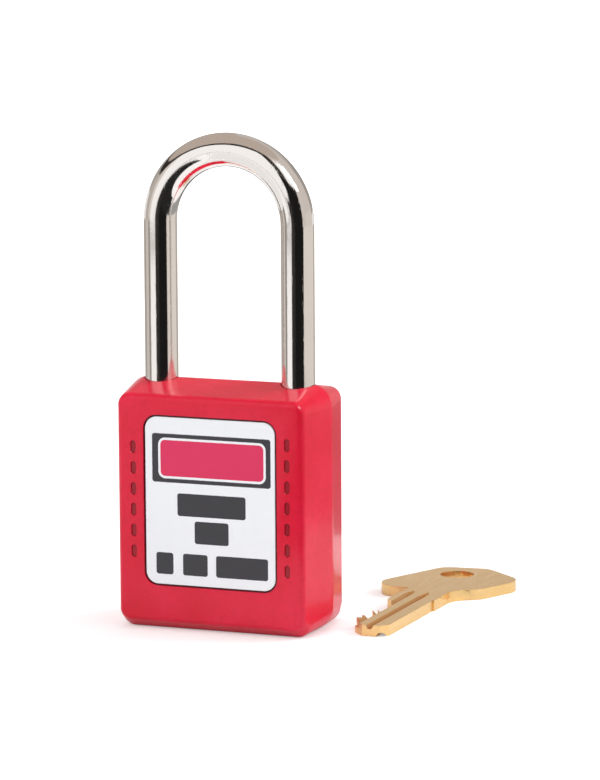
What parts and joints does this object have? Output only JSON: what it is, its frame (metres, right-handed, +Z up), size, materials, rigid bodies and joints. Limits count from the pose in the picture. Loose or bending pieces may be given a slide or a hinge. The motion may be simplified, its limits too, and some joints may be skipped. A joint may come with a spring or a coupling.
{
  "type": "safety lockout padlock",
  "caption": "Safety lockout padlock: tapered thermoplastic body with a recessed label, round steel shackle that lifts when the plug turns, and a flat key beside it.",
  "frame": {"origin": "on the keyway's axis, in the plane that the body stands on", "axes": "+Z up along the shackle legs, -Y out of the label face, +X to the right when facing the label"},
  "size_m": [0.0589, 0.0609, 0.088],
  "materials": {
    "body_plastic": "satin gloss",
    "label_print": "smooth",
    "plated_steel": "polished",
    "steel": "plain",
    "cast_zinc": "as cast",
    "brass": "satin"
  },
  "bodies": {
    "lock_body": {"body_shell": "body_plastic", "label": "label_print", "bottom_cover": "body_plastic", "cylinder_housing": "cast_zinc", "housing_screw": "steel", "spring_strip": "brass", "driver_pin_1": "steel", "driver_pin_2": "steel", "driver_pin_3": "steel", "driver_pin_4": "steel", "driver_pin_5": "steel", "driver_pin_6": "steel", "pin_spring_1": "steel", "pin_spring_2": "steel", "pin_spring_3": "steel", "pin_spring_4": "steel", "pin_spring_5": "steel", "pin_spring_6": "steel", "heel_stop_pin": "steel", "shackle_spring": "steel", "key": "brass"},
    "plug_group": {"plug": "brass", "plug_clip": "steel", "locking_cam": "cast_zinc", "key_pin_1": "brass", "key_pin_2": "brass", "key_pin_3": "brass", "key_pin_4": "brass", "key_pin_5": "brass", "key_pin_6": "brass"},
    "right_bolt": {"bolt_right": "steel"},
    "left_bolt": {"bolt_left": "steel"},
    "shackle_rod": {"shackle": "plated_steel"}
  },
  "joints": [
    {"name": "shackle_lift", "type": "slide", "parent": "lock_body", "child": "shackle_rod", "axis": [0, 0, 1], "range_m": [0, 0.0132], "deforming": ["shackle_spring"]},
    {"name": "plug_turn", "type": "hinge", "parent": "lock_body", "child": "plug_group", "pos_m": [0, 0, 0.015], "axis": [0, 0, 1], "range_deg": [0, 90]},
    {"name": "right_bolt_slide", "type": "slide", "parent": "lock_body", "child": "right_bolt", "axis": [-1, 0, 0], "range_m": [0, 0.004]},
    {"name": "left_bolt_slide", "type": "slide", "parent": "lock_body", "child": "left_bolt", "axis": [1, 0, 0], "range_m": [0, 0.004]}
  ],
  "couplings": [
    {"joint": "plug_turn", "follows": "shackle_lift", "rad_per_m": 118.99},
    {"joint": "right_bolt_slide", "follows": "shackle_lift", "ratio": 0.303},
    {"joint": "left_bolt_slide", "follows": "shackle_lift", "ratio": 0.303}
  ]
}
